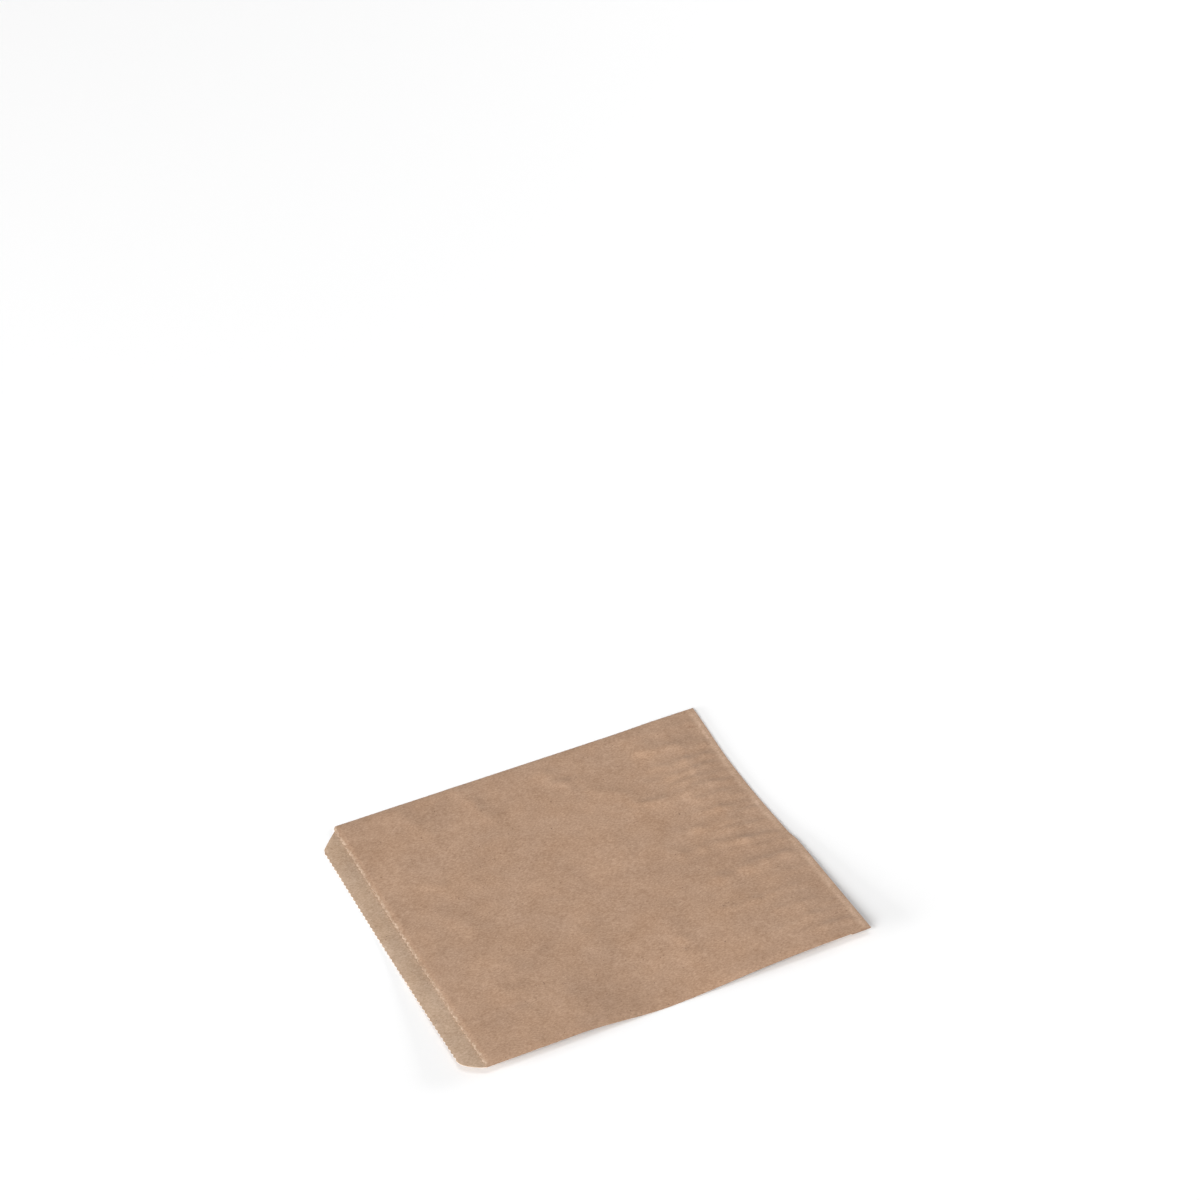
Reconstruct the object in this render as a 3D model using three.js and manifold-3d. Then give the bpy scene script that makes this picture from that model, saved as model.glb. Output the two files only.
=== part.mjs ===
// A flat brown paper bag: one sheet folded into a tube, glued along a seam in its back,
// with its bottom end turned under and glued. It lies on its back on a table.
//
// Millimetres. X runs across the bag, +Y towards its mouth and +Z up.
// The origin is the middle of the space that the bag takes up, on the table.

import * as THREE from 'three';
import { mergeVertices } from 'three/addons/utils/BufferGeometryUtils.js';
import Module from 'manifold-3d';

// Overall sizes.
const bagWidth = 170;          // between the side folds
const frontHeight = 188;       // bottom fold to the cut of the front panel
const lipLength = 10;          // the back panel stands this far past the front one
const paperThickness = 0.1;

// Glued places.
const flapLength = 19;         // front ply turned under at the bottom
const glueBite = 0.03;         // depth to which the flap is pressed into the back panel
const pressLength = 3;         // run over which the flap closes up to the back panel
const seamOverlap = 18;        // the two halves of the back panel lie over each other
const seamCentre = -28;        // off the middle
const seamStep = 0.06;         // run over which the cut edge of one half is stepped

// The serrated cuts.
const toothPitch = 2.76;
const toothDepth = 0.55;
const farCorner = { run: 13, end: 2.7, roundness: 1.1 };   // the lip's corners are cut away
const nearCorner = { run: 9, end: 0, roundness: 1.9 };
const mouthCorner = { run: 2.7, drop: 1.2 };     // the far corner of the mouth is rounded off

// Air between the plies.
const creaseGap = 0.1;         // left inside every fold
const loopRise = 0.12;         // the sheet stands up a little where it turns at the bottom
const loopLength = 1.2;
const shoulderRise = 0.35;     // the front panel rounds up from the folds
const shoulderRun = 3.3;
const shoulderEnd = 16;
const puffRise = 0.9;          // and stands a little off the back panel in the middle
const puffPower = 2.5;
const mouthGap = 0.3;
const cutFlatness = 0.7;       // share of the shoulders that lies flat again at the front cut
const leastNose = 0.25;        // share of its thickness that a side fold has at its outermost line

// How the bag lies: its near side is lifted towards both ends.
const mouthLift = 3.6;
const bottomLift = 3.8;
const mouthRest = 1;           // where each lift starts, next to the place that touches the table
const mouthRun = 44;           // and its run from there to its full height
const bottomRest = 3;
const bottomRun = 66;
const liftReach = 105;         // how far the lift reaches in from the near side
const liftPower = 1.5;
const flapEase = 26;           // run over which the back panel comes down past the flap
const foldBow = 1.7;           // the bottom fold bends in
const bowCentre = 34;
const bowReach = 70;
const bowFade = 60;            // and the rows above it straighten out over this length
const seamBow = 0.9;           // it has a kink where the stiffer seam ends
const seamBowRun = 8;

// Puckers that run up from the bottom fold: place, length and height of each ridge.
const puckers = [
  { x: -75, reach: 26, rise: 0.3 }, { x: -66, reach: 34, rise: 0.35 }, { x: -57, reach: 34, rise: 0.3 },
  { x: -45.5, reach: 60, rise: 0.4 }, { x: -25, reach: 44, rise: 0.7 }, { x: -8, reach: 48, rise: 0.65 },
  { x: 7, reach: 46, rise: 0.5 }, { x: 18, reach: 32, rise: 0.35 }, { x: 33, reach: 56, rise: 0.8 },
  { x: 45, reach: 40, rise: 0.4 }, { x: 54, reach: 32, rise: 0.4 }, { x: 65, reach: 42, rise: 0.6 },
  { x: 76, reach: 26, rise: 0.3 },
];

// How finely the sheet is divided.
const closestColumns = 1.2;
const turnSteps = 4;                     // even, so that one step is the outermost line of the fold
const noseSteps = [0, 0.3, 1];           // shares of the rounding of a side fold
const bodyRows = [0, 1.2, 3.3, 6.5, 11, 20, 31, 45, 70, 92, 104, 130, 158, 178];

// How the pieces are joined and cut.
const plyInlet = 0.005;        // the flap's ply starts this far inside the faces that it goes on from
const pressStart = 1.3;        // run over which it comes up to them
const cutPast = 1;             // a shape that cuts reaches this far past what it cuts

const { clamp, smoothstep, lerp } = THREE.MathUtils;
const halfWidth = bagWidth / 2;
const overallLength = frontHeight + lipLength;
const foldThickness = 3 * paperThickness + creaseGap;    // both panels, one of them double at the seam
const turnRadius = creaseGap / 2;                        // inside the bottom fold
const foldOut = turnRadius + foldThickness;              // middle of the turn to its outside
const turnLength = Math.PI * (turnRadius + foldThickness / 2);
const flapStack = creaseGap + foldThickness;             // height of the flap under the bag
const innerFlapLength = flapLength - lipLength;          // back ply turned under inside the flap
const seamFarEdge = seamCentre + seamOverlap / 2;
const seamNearEdge = seamCentre - seamOverlap / 2;

const wasm = await Module();
wasm.setup();

// Distance that the bottom fold bends in at x.
function bow(x) {
  const share = clamp((x - bowCentre) / bowReach, -1, 1);
  const farFade = 1 - smoothstep(x, halfWidth / 2, halfWidth);
  const kink = seamBow * smoothstep(x, seamFarEdge, seamFarEdge + seamBowRun) * farFade;
  return foldBow * Math.cos(share * Math.PI / 2) ** 2 + kink;
}

// Height of the back panel over the table.
function rest(x, y, travel) {
  const across = clamp((liftReach - halfWidth - x) / liftReach, 0, 1) ** liftPower;
  const toMouth = mouthLift * smoothstep(y, mouthRest, mouthRest + mouthRun);
  const toBottom = bottomLift * smoothstep(-y, -bottomRest, bottomRun - bottomRest);
  const overFlap = flapStack * (1 - smoothstep(travel, flapLength, flapLength + flapEase));
  return across * (toMouth + toBottom) + overFlap;
}

// Air between the front and the back panel, travel being the way up from the bottom fold.
function gap(x, travel) {
  const fromSide = halfWidth - Math.abs(x);
  const side = smoothstep(fromSide, 0, shoulderRun);
  const turned = smoothstep(travel, 0, loopLength) * (1 - smoothstep(travel, loopLength, shoulderRun));
  const shoulder = shoulderRise * smoothstep(travel, shoulderRun, shoulderEnd);
  const dome = 1 - Math.abs(x / halfWidth) ** puffPower;
  const towardsMouth = smoothstep(travel, frontHeight / 2, frontHeight);
  const along = smoothstep(travel, 0, frontHeight / 3) * (1 - towardsMouth);
  const mouth = mouthGap * dome * towardsMouth;
  const ridges = puckers.reduce((sum, pucker, i) => {
    const next = puckers[x > pucker.x ? i + 1 : i - 1];
    const slope = next ? 1 - 2 * Math.abs((x - pucker.x) / (next.x - pucker.x)) : 0;
    const fade = 1 - smoothstep(travel, shoulderEnd, pucker.reach);
    return sum + pucker.rise * Math.max(slope, 0) * smoothstep(travel, loopLength, shoulderEnd) * fade;
  }, 0);
  const flattened = 1 - cutFlatness * smoothstep(travel, frontHeight - shoulderRun, frontHeight);
  const folds = side * (loopRise * turned + shoulder * flattened);
  return creaseGap + folds + puffRise * dome * along + mouth + ridges;
}

const thickness = (x, travel) => 3 * paperThickness + gap(x, Math.max(travel, 0));

// Where the back panel's two faces are, up from its lower half, with the steps of the seam.
const backOutside = (x) => paperThickness * smoothstep(-x, -seamNearEdge, seamStep - seamNearEdge);
const backInside = (x) => paperThickness * (1 + smoothstep(-x, -seamFarEdge, seamStep - seamFarEdge));

// A point of the folded tube. travel is the way from the bottom fold up to the mouth; below
// zero it runs round the fold and then back under the bag. depth is measured through the
// tube, from the outside of its back to the outside of its front.
function place(x, travel, depth) {
  const turnY = -overallLength / 2 + foldOut + bow(x);
  if (travel >= 0) {
    const fade = 1 - smoothstep(travel, 0, bowFade);
    const y = -overallLength / 2 + foldOut + bow(x) * fade + travel * (1 - foldOut / overallLength);
    return new THREE.Vector3(x, y, rest(x, y, travel) + depth);
  }
  const angle = Math.PI * Math.min(-travel / turnLength, 1);
  const under = Math.max(-travel - turnLength, 0);
  const y = turnY + under;
  const centre = rest(x, y, under) - turnRadius;
  const radius = turnRadius + depth;
  return new THREE.Vector3(x, y - radius * Math.sin(angle), centre + radius * Math.cos(angle));
}

// The last stretch of the flap, one ply pressed up to the back panel.
function placePressed(x, travel, depth) {
  const point = place(x, travel, depth);
  const under = -travel - turnLength;
  const panel = rest(x, point.y, under) + backOutside(x) + glueBite;
  const pressed = panel - (depth - (foldThickness - paperThickness));
  point.z = lerp(point.z, pressed, smoothstep(under, innerFlapLength, innerFlapLength + pressLength));
  return point;
}

// A closed block of the sheet: lists of places across and along it, and its two faces.
function block(across, along, lower, upper, position) {
  const box = new THREE.BoxGeometry(1, 1, 1, across.length - 1, along.length - 1, 1);
  box.deleteAttribute('normal');
  box.deleteAttribute('uv');
  const geometry = mergeVertices(box);
  const corners = geometry.attributes.position;
  for (let i = 0; i < corners.count; i++) {
    const x = across[Math.round((corners.getX(i) + 0.5) * (across.length - 1))];
    const travel = along[Math.round((corners.getY(i) + 0.5) * (along.length - 1))];
    const face = corners.getZ(i) > 0 ? upper : lower;
    const point = position(x, travel, face(x, travel));
    corners.setXYZ(i, point.x, point.y, point.z);
  }
  return new wasm.Manifold(new wasm.Mesh({
    numProp: 3,
    vertProperties: Float32Array.from(corners.array),
    triVerts: Uint32Array.from(geometry.index.array),
  }));
}

// Places across the sheet: the rounded sides, the seam's steps, the ridges and the plain runs.
function columns(half, nose) {
  const shoulder = halfWidth - shoulderRun;
  const places = [-shoulder, -(shoulder + halfWidth) / 2, (shoulder + halfWidth) / 2, shoulder];
  puckers.forEach(({ x }, i) => places.push(x, (x + (puckers[i + 1]?.x ?? x)) / 2));
  const result = [seamNearEdge, seamNearEdge - seamStep, seamFarEdge, seamFarEdge - seamStep];
  for (const share of noseSteps) result.push(-half + share * nose, half - share * nose);
  for (const x of places) {
    const crowded = result.some((other) => Math.abs(other - x) < closestColumns);
    if (Math.abs(x) < half - nose && !crowded) result.push(x);
  }
  return result.sort((a, b) => a - b);
}

// A depth drawn in towards the middle of the tube where a side fold rounds over.
function rounded(depth, half, nose) {
  return (x, travel) => {
    const share = clamp((half - Math.abs(x)) / nose, 0, 1);
    const open = Math.max(Math.sqrt(1 - (1 - share) ** 2), leastNose);
    return lerp(thickness(x, travel) / 2, depth(x, travel), open);
  };
}

// The folded tube, from past the mouth round the bottom fold to the end of the inner ply.
function tube() {
  const turn = Array.from({ length: turnSteps }, (_, i) => -turnLength * (i + 1) / turnSteps).reverse();
  const under = [innerFlapLength, innerFlapLength / 2].map((length) => -turnLength - length);
  const body = [...bodyRows, frontHeight];
  const nose = foldThickness / 2;
  const outerColumns = columns(halfWidth, nose);
  const outer = block(
    outerColumns, [...under, ...turn, ...body, overallLength + toothDepth],
    rounded(backOutside, halfWidth, nose), rounded(thickness, halfWidth, nose), place,
  );
  const half = halfWidth - paperThickness;
  const hollowNose = nose - paperThickness;
  const end = overallLength + toothDepth + cutPast;
  const hollow = block(
    columns(half, hollowNose), [under[0] - cutPast, ...under, ...turn, ...body, end],
    rounded(backInside, half, hollowNose),
    rounded((x, travel) => thickness(x, travel) - paperThickness, half, hollowNose), place,
  );
  return outer.subtract(hollow);
}

// A serrated knife: everything past the line that it cuts along, between two depths.
function knife(line, end, lower, upper, position) {
  const count = 2 * Math.round(bagWidth / toothPitch);
  const across = Array.from({ length: count + 3 }, (_, i) => -halfWidth + (i - 1) * bagWidth / count);
  const edge = (x) => {
    const index = Math.round((x + halfWidth) * count / bagWidth);
    const { at, toothed } = line(x);
    return at + (toothed ? toothDepth * ((index % 2 ? 0 : 1) - 0.5) : 0);
  };
  const mapped = (x, share, depth) => position(x, lerp(edge(x), end, share), depth);
  return block(across, end > 0 ? [0, 1] : [1, 0], lower, upper, mapped);
}

// How far x is into the cut corners of the lip and the flap, from 0 at their inner end to 1.
function cornerShare(x) {
  const { run, end, roundness } = x > 0 ? farCorner : nearCorner;
  return clamp((Math.abs(x) - halfWidth + run) / (run - end), 0, 1) ** roundness;
}

function frontLine(x) {
  const corner = clamp((x - halfWidth + mouthCorner.run) / mouthCorner.run, 0, 1);
  return { at: frontHeight - mouthCorner.drop * corner ** 2, toothed: corner === 0 };
}

function lipLine(x) {
  const corner = cornerShare(x);
  return { at: lerp(overallLength - toothDepth / 2, frontLine(x).at, corner), toothed: corner === 0 };
}

function flapLine(x) {
  const corner = cornerShare(x);
  return { at: -turnLength - lerp(flapLength, innerFlapLength, corner), toothed: corner === 0 };
}

// The last ply of the flap, let into the ply that it goes on from, with its serrated end.
function flapEnd() {
  const start = innerFlapLength - cutPast;
  const pressed = innerFlapLength + pressLength;
  const lengths = [start, start + pressStart, pressed - pressLength / 2, pressed, flapLength + toothDepth];
  const inside = (travel) => plyInlet * (1 - smoothstep(-travel - turnLength, start, start + pressStart));
  const upper = (x, travel) => foldThickness - inside(travel);
  const lower = (x, travel) => foldThickness - paperThickness + inside(travel);
  const half = halfWidth - foldThickness;
  const ply = block(
    columns(half, foldThickness / 2), lengths.map((length) => -turnLength - length).reverse(),
    lower, upper, placePressed,
  );
  const end = -turnLength - flapLength - cutPast;
  return ply.subtract(knife(flapLine, end, () => -cutPast, () => foldThickness + cutPast, placePressed));
}

function paperBag() {
  const past = overallLength + 2 * cutPast;
  const between = (x, travel) => (thickness(x, travel) + paperThickness) / 2;
  const high = (x, travel) => thickness(x, travel) + cutPast;
  const frontKnife = knife(frontLine, past, between, high, place);
  const lipKnife = knife(lipLine, past, () => -cutPast, high, place);
  return tube().subtract(frontKnife).subtract(lipKnife).add(flapEnd());
}

function toMesh(name, solid, colour) {
  const { vertProperties, triVerts } = solid.getMesh();
  const geometry = new THREE.BufferGeometry();
  geometry.setAttribute('position', new THREE.BufferAttribute(vertProperties, 3));
  geometry.setIndex(new THREE.BufferAttribute(triVerts, 1));
  geometry.computeVertexNormals();
  const material = new THREE.MeshStandardMaterial({ color: colour, roughness: 0.85, metalness: 0 });
  const mesh = new THREE.Mesh(geometry, material);
  mesh.name = name;
  return mesh;
}

const group = new THREE.Group();
group.add(toMesh('paper_bag', paperBag(), 0xb3947c));

export default group;
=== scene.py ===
import math

import bmesh
import bpy
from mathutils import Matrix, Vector, noise


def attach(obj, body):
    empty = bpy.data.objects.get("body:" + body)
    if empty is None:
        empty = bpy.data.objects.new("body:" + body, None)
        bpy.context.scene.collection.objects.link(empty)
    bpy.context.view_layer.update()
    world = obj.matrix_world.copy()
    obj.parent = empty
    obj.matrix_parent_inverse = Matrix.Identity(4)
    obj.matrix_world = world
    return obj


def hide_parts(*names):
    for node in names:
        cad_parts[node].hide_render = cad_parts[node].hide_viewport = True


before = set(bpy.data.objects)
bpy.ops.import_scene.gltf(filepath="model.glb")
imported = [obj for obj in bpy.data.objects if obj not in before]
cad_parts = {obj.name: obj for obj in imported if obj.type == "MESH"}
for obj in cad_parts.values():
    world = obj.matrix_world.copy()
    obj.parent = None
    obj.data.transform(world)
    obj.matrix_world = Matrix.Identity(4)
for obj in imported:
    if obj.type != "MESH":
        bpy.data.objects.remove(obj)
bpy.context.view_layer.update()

# Lengths are in millimetres until a mesh is finished, then the mesh is scaled to metres.
mm = 0.001


def clamp(value, low=0.0, high=1.0):
    return min(max(value, low), high)


def lerp(a, b, share):
    return a + (b - a) * share


def smoothstep(value, low, high):
    share = clamp((value - low) / (high - low))
    return share * share * (3 - 2 * share)


# Camera: where the photo was taken from. Azimuth 0 looks along +Y.
camera = {
    "lens": 97.96,
    "sensor": 36.0,
    "azimuth": -116.3335,
    "elevation": 39.2161,
    "distance": 1635.65,              # from the camera to the table along its axis
    "target": (179.22, -95.41, 0.0),  # where that axis meets the table
}


def makeCamera():
    data = bpy.data.cameras.new("camera")
    data.lens = camera["lens"]
    data.sensor_width = camera["sensor"]
    data.clip_end = 20
    cam = bpy.data.objects.new("camera", data)
    bpy.context.collection.objects.link(cam)
    azimuth, elevation = math.radians(camera["azimuth"]), math.radians(camera["elevation"])
    back = Vector((math.sin(azimuth) * math.cos(elevation), -math.cos(azimuth) * math.cos(elevation),
                   math.sin(elevation)))
    cam.location = (Vector(camera["target"]) + back * camera["distance"]) * mm
    cam.rotation_euler = (math.pi / 2 - elevation, 0, azimuth)
    bpy.context.scene.camera = cam
    print("camera set")


# The bag: the sizes that its solid has.
bag = {
    "width": 170.0,
    "frontHeight": 188.0,
    "lipLength": 10.0,
    "paper": 0.1,
    "flapLength": 19.0,
    "glueBite": 0.03,
    "pressLength": 3.0,
    "seamOverlap": 18.0,
    "seamCentre": -28.0,
    "toothPitch": 2.76,
    "toothDepth": 0.55,
    "farCorner": (13.0, 2.7, 1.1),    # the lip's cut corners: start and end, in from the fold, roundness
    "nearCorner": (9.0, 0.0, 1.9),
    "mouthCorner": (2.7, 1.2),        # length and drop of the far corner of the mouth
    "creaseGap": 0.1,
    "loopRise": 0.12,
    "loopLength": 1.2,
    "shoulderRise": 0.35,
    "shoulderRun": 3.3,
    "shoulderEnd": 16.0,
    "puffRise": 0.9,
    "puffPower": 2.5,
    "mouthGap": 0.3,
    "cutFlatness": 0.7,
    "leastAir": 0.02,
    "mouthLift": 3.6,
    "bottomLift": 3.8,
    "mouthRest": 1.0,
    "mouthRun": 44.0,
    "bottomRest": 3.0,
    "bottomRun": 66.0,
    "liftReach": 105.0,
    "liftPower": 1.5,
    "flapEase": 26.0,
    "foldBow": 1.7,
    "bowCentre": 34.0,
    "bowReach": 70.0,
    "bowFade": 60.0,
    "seamBow": 0.9,
    "seamBowRun": 8.0,
    "foldColumns": 5,                 # round each side fold
    "turnRows": 8,                    # round the bottom fold
    "flapRows": 9,
    "straightRows": 2,                # of the inner flap, next to the bottom fold
    "mouthRows": 18,
    "mouthBand": 9.0,                 # below the front cut, where the rows close up to it
    "rowStep": 1.55,
    "rowEase": 0.38,                  # how much closer the rows stand at the bottom
    "straightFlap": 0.6,              # share of the inner flap that has its own rows
    "leastColumn": 0.12,
    "above": 9.0,                     # height of a point over the middle of the bag
    "highlightBand": (0.2, 1.4, 2.0, 4.6),  # where the bottom fold gets a painted highlight: it starts, is full, fades, ends
    "flapBand": (17.5, 21.0),         # the flap's end shades the front panel up to here
    "frayedLitRows": (0.85, 0.35),       # how frayed the rows next to a cut are, with a painted highlight of the lit cut on them
    "teethFrayedLit": (0.55, 1.0),       # and the cut itself, between its teeth and on them
    "lipFrayedLit": 0.3,                 # share of that at the lip
}

# Unevenness of the paper: sizes of its noise across and along the bag, seeds and heights.
wrinkle = {
    "warpSize": (11.0, 12.0),
    "warpSeed": 5.2,
    "warp": (1.7, 3.0),               # how far the ridges meander across and along
    "alongSeed": 4.0,
    "unevenSize": (6.0, 8.0),
    "unevenSeed": 9.1,
    "uneven": (0.9, 1.1),             # usual height of a ridge and how much it changes
    "ridgeEnd": 3.0,                  # a ridge reaches this many half widths to each side
    "ridgeFade": 0.35,                # share of its length over which each end fades
    "fullFrom": 5.5,                  # travel from which ridges have their full height
    "seed": 1.7,
    "broad": (34.0, 46.0, 0.30, 0.0),  # both sizes, height, and what is added to the seed
    "fine": (13.0, 17.0, 0.13, 7.3),
    "creased": (4.2, 20.0, 0.12, 3.1),
    "creasedFade": (12.0, 50.0),
    "softFrom": (12.0, 9.0),          # full from here on, off the bottom fold and off the sides
    # Patches of the painted highlight along the bottom fold.
    "highlightSize": (6.0, 4.0),
    "highlightSeed": 3.4,
    "highlightPatches": (0.95, 0.9),       # usual strength and how much it changes
    # Patches of the cuts' lighter rows, partly frayed fibres and partly a painted highlight.
    "frayLightSize": (1.3, 1.25),          # the second one in rows
    "frayLightSeed": 2.5,
    "frayLightPatches": (0.5, 1.7),
}

# Puckers that run up from the bottom fold, then soft creases elsewhere in the front panel:
# x and travel of both ends of each ridge, its height and half of its width.
puckers = [
    (-74, 28, -77, -2, 0.55, 2.0), (-68, 36, -68, -2, 0.55, 2.2), (-61, 20, -62, -4, 0.34, 1.5),
    (-57, 36, -57, 10, 0.44, 1.6), (-45, 62, -46, 14, 0.55, 1.8), (-36, 24, -36, 0, 0.30, 2.2),
    (-26, 46, -24, 0, 1.00, 3.0), (-13, 34, -16, -3, 0.50, 1.6), (-4, 50, -11, -2, 0.74, 2.8),
    (2, 30, 0, -3, 0.56, 1.6), (9, 46, 6, 8, 0.62, 2.4), (10, 20, 8, -4, 0.52, 1.5),
    (17, 32, 13, -3, 0.58, 1.7), (22, 16, 21, -5, 0.40, 1.4), (27, 34, 25, 0, 0.60, 1.6),
    (33, 58, 33.5, 22, 1.05, 3.8), (34, 24, 31, -3, 0.50, 1.8), (38.5, 32, 38, -2, 0.62, 1.8),
    (45.5, 40, 45, 6, 0.52, 1.7), (54, 34, 51, -3, 0.66, 2.0), (60, 18, 58, -5, 0.44, 1.5),
    (68, 44, 61, 2, 0.80, 2.8), (76, 26, 77, -2, 0.46, 2.6), (18, 19.5, 72, 18.5, 0.22, 1.8),
]
creases = [
    (-46, 166, -47, 149, 0.30, 3.2), (10, 166, -11, 153, 0.26, 5.0), (35, 170, 21, 157, 0.28, 5.0),
    (20, 156, 21, 135, 0.34, 4.5), (84, 126, 56, 120, 0.44, 4.0), (75, 88, 53, 70, 0.62, 5.5),
    (50, 64, 36, 53, 0.36, 3.4), (-48, 113, -20, 109, 0.48, 6.5), (-80, 163, -32, 153, 0.38, 7.5),
    (-70, 140, -52, 138, 0.24, 5.5), (10, 125, -3, 105, 0.22, 3.0), (-10, 55, 4, 55, 0.40, 5.5),
    (61, 149, 81, 159, 0.50, 5.5), (-68, 77, -32, 77, 0.44, 4.6), (66, 32, 82, 40, 0.46, 5.5),
]

halfWidth = bag["width"] / 2
paper = bag["paper"]
overall = bag["frontHeight"] + bag["lipLength"]
foldThickness = 3 * paper + bag["creaseGap"]
turnRadius = bag["creaseGap"] / 2
foldOut = turnRadius + foldThickness
turnLength = math.pi * (turnRadius + foldThickness / 2)
flapStack = bag["creaseGap"] + foldThickness
innerFlap = bag["flapLength"] - bag["lipLength"]
seamFarEdge = bag["seamCentre"] + bag["seamOverlap"] / 2
seamNearEdge = bag["seamCentre"] - bag["seamOverlap"] / 2


def bow(x):
    share = clamp((x - bag["bowCentre"]) / bag["bowReach"], -1, 1)
    farFade = 1 - smoothstep(x, halfWidth / 2, halfWidth)
    kink = smoothstep(x, seamFarEdge, seamFarEdge + bag["seamBowRun"]) * farFade
    return bag["foldBow"] * math.cos(share * math.pi / 2) ** 2 + bag["seamBow"] * kink


def rest(x, y, travel):
    across = clamp((bag["liftReach"] - halfWidth - x) / bag["liftReach"]) ** bag["liftPower"]
    mouthRest, bottomRest, flapLength = bag["mouthRest"], bag["bottomRest"], bag["flapLength"]
    toMouth = bag["mouthLift"] * smoothstep(y, mouthRest, mouthRest + bag["mouthRun"])
    toBottom = bag["bottomLift"] * smoothstep(-y, -bottomRest, bag["bottomRun"] - bottomRest)
    overFlap = flapStack * (1 - smoothstep(travel, flapLength, flapLength + bag["flapEase"]))
    return across * (toMouth + toBottom) + overFlap


def unevenness(x, travel, size, seed):
    return noise.noise(Vector((x / size[0], travel / size[1], seed)))


def ridges(x, travel):
    total = 0.0
    size, seed = wrinkle["warpSize"], wrinkle["warpSeed"]
    across, lengthways = wrinkle["warp"]
    along = travel + lengthways * unevenness(x, travel, size, seed + wrinkle["alongSeed"])
    x += across * unevenness(x, travel, size, seed)
    usual, change = wrinkle["uneven"]
    uneven = usual + change * unevenness(x, travel, wrinkle["unevenSize"], wrinkle["unevenSeed"])
    end = wrinkle["ridgeFade"]
    for startX, startTravel, endX, endTravel, rise, halfRidge in puckers + creases:
        runX, runTravel = endX - startX, endTravel - startTravel
        length = math.hypot(runX, runTravel)
        offset = ((x - startX) * runTravel - (along - startTravel) * runX) / length / halfRidge
        if abs(offset) < wrinkle["ridgeEnd"]:
            share = ((x - startX) * runX + (along - startTravel) * runTravel) / length ** 2
            fade = smoothstep(share, -end, end) * (1 - smoothstep(share, 1 - end, 1 + end))
            total += rise * uneven * math.exp(-offset * offset) * fade
    return total * smoothstep(travel, bag["loopLength"], wrinkle["fullFrom"])


def cockle(x, travel):
    def layer(name):
        *size, rise, seed = wrinkle[name]
        return rise * unevenness(x, travel, size, wrinkle["seed"] + seed)
    lower = 1 - smoothstep(travel, *wrinkle["creasedFade"])
    return layer("broad") + layer("fine") + layer("creased") * lower


def gap(x, travel):
    if travel <= 0:
        return bag["creaseGap"]
    fromSide = halfWidth - abs(x)
    run, loop = bag["shoulderRun"], bag["loopLength"]
    side = smoothstep(fromSide, 0, run)
    turned = bag["loopRise"] * side * smoothstep(travel, 0, loop) * (1 - smoothstep(travel, loop, run))
    shoulder = bag["shoulderRise"] * side * smoothstep(travel, run, bag["shoulderEnd"])
    dome = 1 - abs(x / halfWidth) ** bag["puffPower"]
    front = bag["frontHeight"]
    along = smoothstep(travel, 0, front / 3) * (1 - smoothstep(travel, front / 2, front))
    mouth = bag["mouthGap"] * dome * smoothstep(travel, front / 2, front)
    flattened = 1 - bag["cutFlatness"] * smoothstep(travel, front - run, front)
    offFold, offSide = wrinkle["softFrom"]
    soft = cockle(x, travel) * smoothstep(travel, 0, offFold) * smoothstep(fromSide, 0, offSide)
    folds = turned + shoulder * flattened
    air = folds + bag["puffRise"] * dome * along + mouth + ridges(x, travel) + soft
    return bag["creaseGap"] + max(air, bag["leastAir"])


def placePoint(x, travel, depth):
    if travel >= 0:
        fade = 1 - smoothstep(travel, 0, bag["bowFade"])
        y = -overall / 2 + foldOut + bow(x) * fade + travel * (1 - foldOut / overall)
        return Vector((x, y, rest(x, y, travel) + depth))
    angle = math.pi * min(-travel / turnLength, 1)
    under = max(-travel - turnLength, 0)
    y = -overall / 2 + foldOut + bow(x) + under
    centre = rest(x, y, under) - turnRadius
    radius = turnRadius + depth
    return Vector((x, y - radius * math.sin(angle), centre + radius * math.cos(angle)))


def placePressed(x, travel, depth):
    point = placePoint(x, travel, depth)
    under = -travel - turnLength
    backOutside = paper if x < seamNearEdge else 0.0
    panel = rest(x, point.y, under) + backOutside + bag["glueBite"]
    pressed = panel - (depth - (foldThickness - paper))
    point.z = lerp(point.z, pressed, smoothstep(under, innerFlap, innerFlap + bag["pressLength"]))
    return point


def makeStations():
    # Places round the tube, from the outer edge of the seam to its inner edge: part, x, share, tooth.
    half = bag["toothPitch"] / 2
    count = 2 * round(bag["width"] / bag["toothPitch"])
    grid = [-halfWidth + i * bag["width"] / count for i in range(count + 1)]
    inner = [(i, x) for i, x in enumerate(grid) if abs(x) < halfWidth - half / 2]
    stations = [("far", seamNearEdge, 0, 0)]
    stations += [("far", x, 0, i % 2) for i, x in inner if x > seamNearEdge + half / 2]
    turns = bag["foldColumns"]
    stations += [("farFold", halfWidth, k / turns, 0) for k in range(turns + 1)]
    stations += [("front", x, 0, i % 2) for i, x in reversed(inner)]
    stations += [("nearFold", -halfWidth, k / turns, 0) for k in range(turns + 1)]
    stations += [("near", x, 0, i % 2) for i, x in inner if x < seamFarEdge - half / 2]
    stations.append(("near", seamFarEdge, 0, 0))
    return stations


def cornerShare(x):
    run, end, roundness = bag["farCorner"] if x > 0 else bag["nearCorner"]
    return clamp((abs(x) - halfWidth + run) / (run - end)) ** roundness


def frontLine(x):
    run, drop = bag["mouthCorner"]
    return bag["frontHeight"] - drop * clamp((x - halfWidth + run) / run) ** 2


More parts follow.
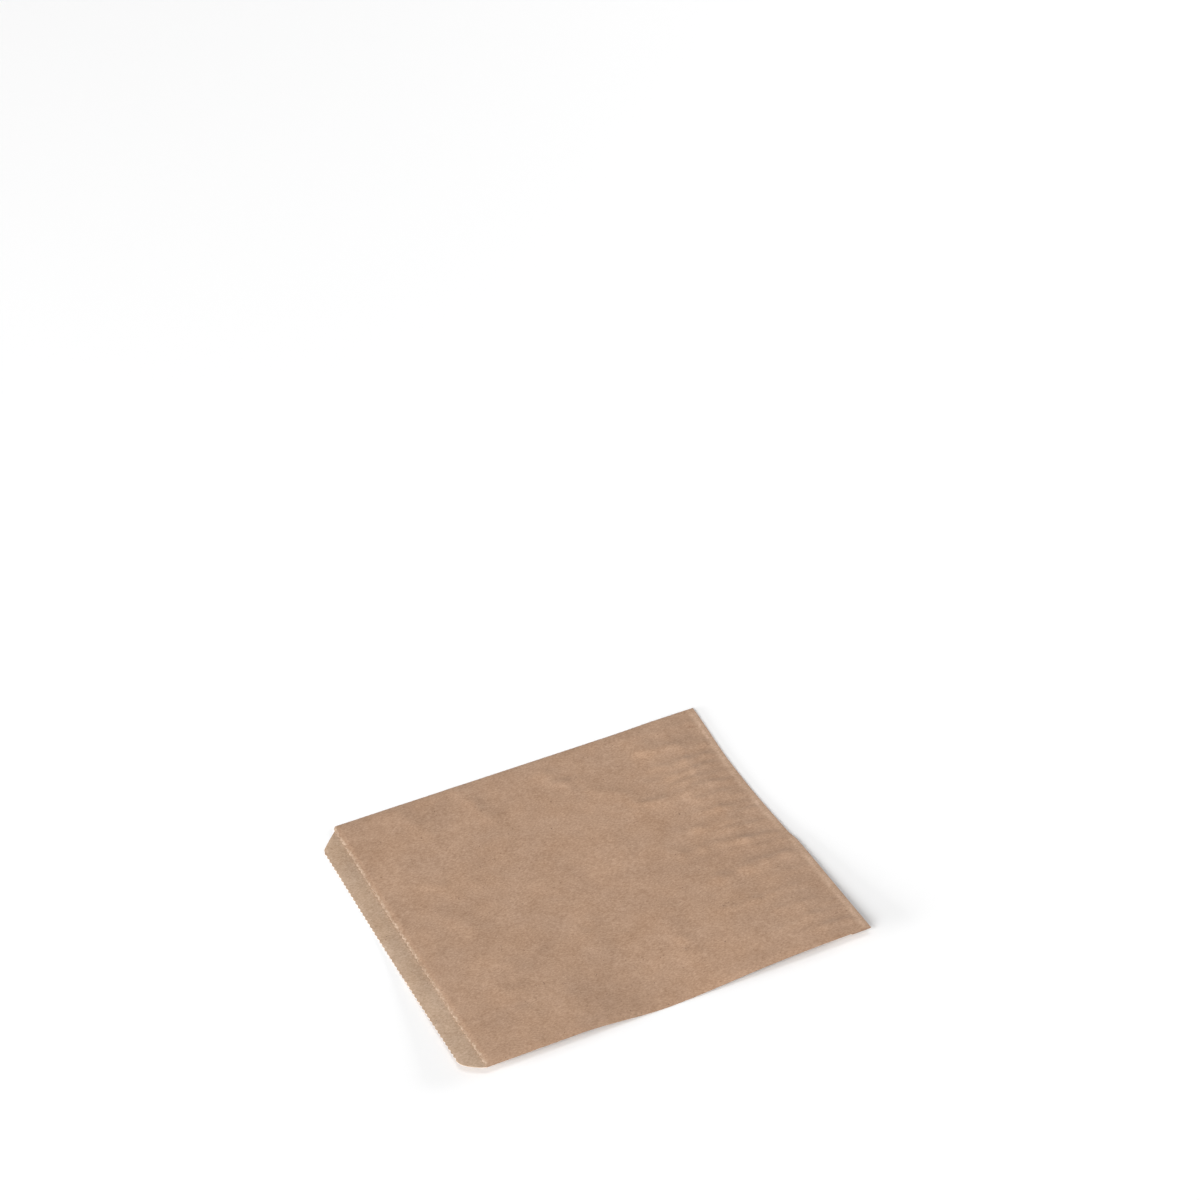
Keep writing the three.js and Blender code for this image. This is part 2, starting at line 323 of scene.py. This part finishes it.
def endLines(part, x, tooth):
    # Travel at both ends of the sheet, under the bottom and at the mouth, with the knife's teeth.
    corner = cornerShare(x)
    teeth = bag["toothDepth"] * (tooth - 0.5) if corner == 0 else 0.0
    flapCorner = lerp(bag["flapLength"], innerFlap, corner)
    mouth = frontLine(x)
    if part == "front":
        mouthTeeth = bag["toothDepth"] * (tooth - 0.5) if mouth == bag["frontHeight"] else 0.0
        return -turnLength - flapCorner + teeth, mouth + mouthTeeth
    if part in ("far", "near"):
        full = overall - bag["toothDepth"] / 2
        return -turnLength - innerFlap, lerp(full, mouth, corner) + teeth
    return -turnLength - innerFlap, mouth


def travelAt(row, rows, start, end):
    # Rows keep the same place in every part but the last ones at both ends, which reach the cuts.
    flapRows, turnRows, mouthRows = bag["flapRows"], bag["turnRows"], bag["mouthRows"]
    straight = -turnLength - bag["straightFlap"] * innerFlap
    if row < flapRows:
        return lerp(start, straight, row / flapRows)
    row -= flapRows
    if row < bag["straightRows"]:
        return lerp(straight, -turnLength, row / bag["straightRows"])
    row -= bag["straightRows"]
    if row < turnRows:
        return -turnLength * (1 - row / turnRows)
    row -= turnRows
    bodyRows = rows - flapRows - bag["straightRows"] - turnRows - mouthRows
    bodyEnd = bag["frontHeight"] - bag["mouthBand"]
    if row < bodyRows:
        share = row / bodyRows
        return bodyEnd * lerp(share, share * share, bag["rowEase"])
    return lerp(bodyEnd, end, (row - bodyRows) / mouthRows)


def sheetPoint(part, x, share, travel):
    thick = 3 * paper + gap(x, travel)
    top, farLevel, nearLevel = thick - paper / 2, paper / 2, paper * 1.5
    if part == "front":
        if travel < -turnLength - innerFlap:
            return placePressed(x, travel, foldThickness - paper / 2)
        return placePoint(x, travel, top)
    if part in ("far", "near"):
        return placePoint(x, travel, farLevel if part == "far" else nearLevel)
    low = farLevel if part == "farFold" else nearLevel
    radius = (top - low) / 2
    angle = math.pi * (share if part == "farFold" else 1 - share)
    side = 1 if part == "farFold" else -1
    reach = halfWidth - paper / 2 - radius
    turnedX = side * (reach + radius * math.sin(angle))
    return placePoint(turnedX, travel, (top + low) / 2 - radius * math.cos(angle))


def makeBag():
    stations = makeStations()
    bodyRows = round(bag["frontHeight"] / bag["rowStep"])
    rows = bag["flapRows"] + bag["straightRows"] + bag["turnRows"] + bodyRows + bag["mouthRows"]
    bm = bmesh.new()
    bmesh.ops.create_grid(bm, x_segments=len(stations) - 1, y_segments=rows, size=0.5)
    foldHighlight = bm.verts.layers.float.new("foldHighlight")
    flapShade = bm.verts.layers.float.new("flapShade")
    frayAndHighlight = bm.verts.layers.float.new("frayAndHighlight")
    sheet = bm.loops.layers.uv.new("sheet")
    flat, around = {}, [0.0]
    for one, two in zip(stations, stations[1:]):
        around.append(around[-1] + max(abs(two[1] - one[1]), bag["leastColumn"]))
    highlightStart, highlightFull, highlightFade, highlightEnd = bag["highlightBand"]
    usualHighlight, highlightChange = wrinkle["highlightPatches"]
    usualFrayLight, frayLightChange = wrinkle["frayLightPatches"]
    for vert in bm.verts:
        column = round((vert.co.x + 0.5) * (len(stations) - 1))
        row = round((vert.co.y + 0.5) * rows)
        part, x, share, tooth = stations[column]
        start, end = endLines(part, x, tooth)
        travel = travelAt(row, rows, start, end)
        flat[vert] = (around[column], travel)
        vert.co = sheetPoint(part, x, share, travel)
        # Painted highlight along the bottom fold: a patchy lighter strip on the front panel, standing in
        # for the light the raised fold catches.
        stripShare = smoothstep(travel, highlightStart, highlightFull) * (1 - smoothstep(travel, highlightFade, highlightEnd))
        patchy = unevenness(x, travel, wrinkle["highlightSize"], wrinkle["highlightSeed"])
        vert[foldHighlight] = (part == "front") * stripShare * clamp(usualHighlight + highlightChange * patchy)
        vert[flapShade] = 1 - smoothstep(travel, *bag["flapBand"]) if travel > 0 else 0.0
        # Along both cuts the rows are painted lighter: partly the frayed fibres' own colour, partly a
        # painted highlight of the lit cut.
        fromCut = rows - row
        frayHighlightRows = (lerp(*bag["teethFrayedLit"], tooth), *bag["frayedLitRows"])
        patchy = unevenness(x, fromCut, wrinkle["frayLightSize"], wrinkle["frayLightSeed"])
        frayLight = clamp(usualFrayLight + frayLightChange * patchy) * (1 if part == "front" else bag["lipFrayedLit"])
        vert[frayAndHighlight] = frayHighlightRows[fromCut] * frayLight if fromCut < len(frayHighlightRows) else 0.0
    total, length = around[-1], overall + bag["flapLength"]
    for face in bm.faces:
        face.smooth = True
        for loop in face.loops:
            across, travel = flat[loop.vert]
            loop[sheet].uv = (across / total, (travel + bag["flapLength"]) / length)
    for edge in bm.edges:
        if edge.is_boundary:
            edge.smooth = False
    # The face nearest to a point above the bag shows which way the sheet's outside faces.
    above = Vector((0, 0, bag["above"]))
    front = min(bm.faces, key=lambda face: (face.calc_center_median() - above).length)
    front.normal_update()
    if front.normal.z < 0:
        bmesh.ops.reverse_faces(bm, faces=bm.faces)
    bmesh.ops.scale(bm, vec=(mm, mm, mm), verts=bm.verts)
    mesh = bpy.data.meshes.new("paper_bag_sheet")
    bm.to_mesh(mesh)
    bm.free()
    piece = bpy.data.objects.new("paper_bag_sheet", mesh)
    bpy.context.collection.objects.link(piece)
    for material in (kraftOutside(), kraftInside(), kraftCut()):
        mesh.materials.append(material)
    ply = piece.modifiers.new("ply", "SOLIDIFY")
    ply.thickness = paper * mm
    ply.offset = 0
    ply.material_offset = 1
    ply.material_offset_rim = 2
    print("paper bag folded:", len(mesh.polygons), "faces before its thickness")
    return piece


# Paper: colours as the eye sees them, from 0 to 255.
kraft = {
    "outside": (170, 139, 115),
    "inside": (180, 154, 131),
    # Colour of the painted highlight along the bottom fold.
    "paintedFoldLight": (219, 190, 165),
    # Colour of the cut edge: the frayed fibres' own lighter colour with a painted highlight on top, also
    # painted along the cuts.
    "cut": (222, 197, 172),
    "fleck": (104, 78, 60),
    "fleckStrength": 0.7,
    "frayHighlightStrength": 0.8,
    "flapDarkness": 0.975,
    "warmth": (1.02, 1.0, 0.97),
    "warmSize": 17.0,
    "cloudSize": 26.0,
    "mottleSize": 5.0,
    "fibreSize": 0.7,
    "hairSize": 0.35,
    "speckSize": 0.9,
    "sparseSize": 3.1,
    # The cloud's broad patches are partly the paper's own tone and partly painted shade of its
    # unevenness.
    "cloudStrength": 0.12,
    "mottleStrength": 0.13,
    "fibreStrength": 0.52,
    "grey": (0.84, 1.01, 1.21),       # red, green and blue of the changes in lightness, grain and painted shade alike
    "contrast": 2.6,
    "roughness": (0.74, 0.92),
}


def linear(colour, factor=1.0):
    def channel(value):
        value = value / 255
        return value / 12.92 if value <= 0.04045 else ((value + 0.055) / 1.055) ** 2.4
    return tuple(channel(value) * factor for value in colour) + (1.0,)


def addNode(tree, kind, **inputs):
    node = tree.nodes.new(kind)
    for name, value in inputs.items():
        node.inputs[name.replace("_", " ")].default_value = value
    return node


def mathNode(tree, operation, first, second):
    node = tree.nodes.new("ShaderNodeMath")
    node.operation = operation
    for socket, value in zip(node.inputs, (first, second)):
        if isinstance(value, (int, float)):
            socket.default_value = value
        else:
            tree.links.new(value, socket)
    return node.outputs[0]


def rangeNode(tree, value, low, high, toLow=0.0, toHigh=1.0):
    node = tree.nodes.new("ShaderNodeMapRange")
    tree.links.new(value, node.inputs["Value"])
    node.inputs["From Min"].default_value = low
    node.inputs["From Max"].default_value = high
    node.inputs["To Min"].default_value = toLow
    node.inputs["To Max"].default_value = toHigh
    return node.outputs[0]


def mixColour(tree, share, first, second):
    node = tree.nodes.new("ShaderNodeMix")
    node.data_type = "RGBA"
    sockets = (node.inputs[0], node.inputs[6], node.inputs[7])
    for socket, value in zip(sockets, (share, first, second)):
        if isinstance(value, (int, float, tuple)):
            socket.default_value = value
        else:
            tree.links.new(value, socket)
    return node.outputs[2]


def noiseNode(tree, vector, size, detail, roughness=0.5, stretch=(1, 1, 1)):
    mapping = tree.nodes.new("ShaderNodeMapping")
    mapping.inputs["Scale"].default_value = stretch
    tree.links.new(vector, mapping.inputs["Vector"])
    node = addNode(tree, "ShaderNodeTexNoise", Scale=1 / size, Detail=detail, Roughness=roughness)
    tree.links.new(mapping.outputs[0], node.inputs["Vector"])
    return node.outputs["Fac"]


def paperGroup():
    # Grain of uncoated paper: how light each place is, its flecks and its height. The broad cloud in the
    # lightness is partly the paper's own tone and partly painted shade of its unevenness.
    if "paperGrainAndShade" in bpy.data.node_groups:
        return bpy.data.node_groups["paperGrainAndShade"]
    tree = bpy.data.node_groups.new("paperGrainAndShade", "ShaderNodeTree")
    face = tree.interface
    face.new_socket("Vector", in_out="INPUT", socket_type="NodeSocketVector")
    for name, value in (("Cloud", kraft["cloudStrength"]), ("Mottle", kraft["mottleStrength"]),
                        ("Fibre", kraft["fibreStrength"])):
        face.new_socket(name, in_out="INPUT", socket_type="NodeSocketFloat").default_value = value
    for name in ("Light", "Fleck", "Warm", "Height", "Roughness"):
        face.new_socket(name, in_out="OUTPUT", socket_type="NodeSocketFloat")
    source = tree.nodes.new("NodeGroupInput")
    out = tree.nodes.new("NodeGroupOutput")
    millimetres = tree.nodes.new("ShaderNodeVectorMath")
    millimetres.operation = "SCALE"
    millimetres.inputs["Scale"].default_value = 1 / mm
    tree.links.new(source.outputs["Vector"], millimetres.inputs[0])
    place = millimetres.outputs[0]
    cloud = noiseNode(tree, place, kraft["cloudSize"], 3.0, 0.55)
    mottle = noiseNode(tree, place, kraft["mottleSize"], 3.0, 0.6, (1, 0.8, 1))
    fibre = noiseNode(tree, place, kraft["fibreSize"], 4.0, 0.7, (1, 0.55, 1))
    hair = noiseNode(tree, place, kraft["hairSize"], 2.0, 0.6, (0.25, 1.2, 1))
    light = 0.0
    for value, name in ((cloud, "Cloud"), (mottle, "Mottle"), (fibre, "Fibre")):
        centred = mathNode(tree, "MULTIPLY", mathNode(tree, "SUBTRACT", value, 0.5), kraft["contrast"])
        light = mathNode(tree, "ADD", light, mathNode(tree, "MULTIPLY", centred, source.outputs[name]))
    tree.links.new(light, out.inputs["Light"])
    speck = noiseNode(tree, place, kraft["speckSize"], 1.0, 0.4)
    sparse = noiseNode(tree, place, kraft["sparseSize"], 0.0)
    specks = rangeNode(tree, speck, 0.70, 0.76)
    specks = mathNode(tree, "MULTIPLY", specks, rangeNode(tree, sparse, 0.50, 0.62))
    tree.links.new(specks, out.inputs["Fleck"])
    warm = noiseNode(tree, place, kraft["warmSize"], 2.0)
    tree.links.new(rangeNode(tree, warm, 0.35, 0.65), out.inputs["Warm"])
    height = 0.0
    for value, share in ((fibre, 0.6), (hair, 0.4), (mottle, 1.2)):
        height = mathNode(tree, "ADD", height, mathNode(tree, "MULTIPLY", value, share))
    tree.links.new(height, out.inputs["Height"])
    tree.links.new(rangeNode(tree, fibre, 0.3, 0.7, *kraft["roughness"]), out.inputs["Roughness"])
    return tree


def paperMaterial(name, colour, paintedFoldLight=0.0, flapDark=0.0, bump=0.03):
    material = bpy.data.materials.new(name)
    material.use_nodes = True
    tree = material.node_tree
    shader = tree.nodes["Principled BSDF"]
    shader.inputs["Specular IOR Level"].default_value = 0.25
    shader.inputs["Sheen Weight"].default_value = 0.05
    coordinates = tree.nodes.new("ShaderNodeTexCoord")
    grainAndShade = tree.nodes.new("ShaderNodeGroup")
    grainAndShade.node_tree = paperGroup()
    tree.links.new(coordinates.outputs["Object"], grainAndShade.inputs["Vector"])
    for socket in ("Cloud", "Mottle", "Fibre"):
        grainAndShade.inputs[socket].default_value = kraft[socket.lower() + "Strength"]
    base = linear(colour)
    warmer = (*(value * factor for value, factor in zip(base, kraft["warmth"])), 1)
    tinted = mixColour(tree, grainAndShade.outputs["Warm"], base, warmer)
    # Painted light mixed into the colour: a highlight along the bottom fold, shade over the flap's end,
    # and along the cuts a highlight on top of the frayed fibres' own lighter colour.
    for attribute, strength, target in (("foldHighlight", paintedFoldLight, linear(kraft["paintedFoldLight"])),
                                        ("flapShade", flapDark, linear(colour, kraft["flapDarkness"])),
                                        ("frayAndHighlight", kraft["frayHighlightStrength"], linear(kraft["cut"]))):
        if strength:
            mask = tree.nodes.new("ShaderNodeAttribute")
            mask.attribute_name = attribute
            share = mathNode(tree, "MULTIPLY", mask.outputs["Fac"], strength)
            tinted = mixColour(tree, share, tinted, target)
    flecks = mathNode(tree, "MULTIPLY", grainAndShade.outputs["Fleck"], kraft["fleckStrength"])
    flecked = mixColour(tree, flecks, tinted, linear(kraft["fleck"]))
    shade = tree.nodes.new("ShaderNodeVectorMath")
    shade.operation = "MULTIPLY_ADD"
    tree.links.new(grainAndShade.outputs["Light"], shade.inputs[0])
    shade.inputs[1].default_value = kraft["grey"]
    shade.inputs[2].default_value = (1, 1, 1)
    lit = tree.nodes.new("ShaderNodeVectorMath")
    lit.operation = "MULTIPLY"
    tree.links.new(flecked, lit.inputs[0])
    tree.links.new(shade.outputs[0], lit.inputs[1])
    tree.links.new(lit.outputs[0], shader.inputs["Base Color"])
    tree.links.new(grainAndShade.outputs["Roughness"], shader.inputs["Roughness"])
    relief = addNode(tree, "ShaderNodeBump", Strength=0.5, Distance=bump * mm)
    tree.links.new(grainAndShade.outputs["Height"], relief.inputs["Height"])
    tree.links.new(relief.outputs["Normal"], shader.inputs["Normal"])
    return material


def kraftOutside():
    return paperMaterial("kraft_outside", kraft["outside"], paintedFoldLight=1.0, flapDark=0.7)


def kraftInside():
    return paperMaterial("kraft_inside", kraft["inside"])


def kraftCut():
    return paperMaterial("kraft_cut_edge", kraft["cut"], bump=0.02)


# Table and light: a plain white table under broad, soft light.
studio = {
    "table": (249, 249, 249),
    "tableSize": 4000.0,
    "tableGap": 0.05,                 # between the table and the paper's lowest face
    "skyStrength": 0.16,
    "keyStrength": 3.0,
    "keyAngle": 30.0,                 # how broad the key light is, seen from the table
    "keyFrom": (-0.50, 0.72, 0.50),
    "topStrength": 0.58,
    "topAngle": 22.0,
    "topFrom": (0.0, 0.0, 1.0),
    "stripSize": (0.9, 0.4),          # low lights past the mouth and past the bottom fold
    "stripPlaces": ((0.0, 2.0, 0.28), (0.0, -2.0, 0.28)),
    "stripPowers": (46.0, 36.0),
}


def makeStudio():
    bm = bmesh.new()
    bmesh.ops.create_grid(bm, x_segments=1, y_segments=1, size=studio["tableSize"] * mm / 2)
    mesh = bpy.data.meshes.new("table")
    bm.to_mesh(mesh)
    bm.free()
    table = bpy.data.objects.new("table", mesh)
    bpy.context.collection.objects.link(table)
    table.location.z = -studio["tableGap"] * mm
    material = bpy.data.materials.new("table_white")
    material.use_nodes = True
    shader = material.node_tree.nodes["Principled BSDF"]
    shader.inputs["Base Color"].default_value = linear(studio["table"])
    shader.inputs["Roughness"].default_value = 0.9
    shader.inputs["Specular IOR Level"].default_value = 0.1
    mesh.materials.append(material)
    world = bpy.data.worlds.new("sky")
    world.use_nodes = True
    world.node_tree.nodes["Background"].inputs["Color"].default_value = (1, 1, 1, 1)
    world.node_tree.nodes["Background"].inputs["Strength"].default_value = studio["skyStrength"]
    bpy.context.scene.world = world
    for name in ("key", "top"):
        data = bpy.data.lights.new(name, "SUN")
        data.energy = studio[name + "Strength"]
        data.angle = math.radians(studio[name + "Angle"])
        light = bpy.data.objects.new(name, data)
        bpy.context.collection.objects.link(light)
        light.rotation_euler = Vector(studio[name + "From"]).to_track_quat("Z", "Y").to_euler()
    for place, power in zip(studio["stripPlaces"], studio["stripPowers"]):
        data = bpy.data.lights.new("strip", "AREA")
        data.shape = "RECTANGLE"
        data.size, data.size_y = studio["stripSize"]
        data.energy = power
        strip = bpy.data.objects.new("strip", data)
        bpy.context.collection.objects.link(strip)
        strip.location = place
        strip.rotation_euler = (math.copysign(math.pi / 2, -place[1]), 0, 0)
    bpy.context.scene.view_settings.view_transform = "Standard"
    print("table and light set")


makeCamera()
makeStudio()
paperBag = makeBag()
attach(paperBag, "root")
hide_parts("paper_bag")
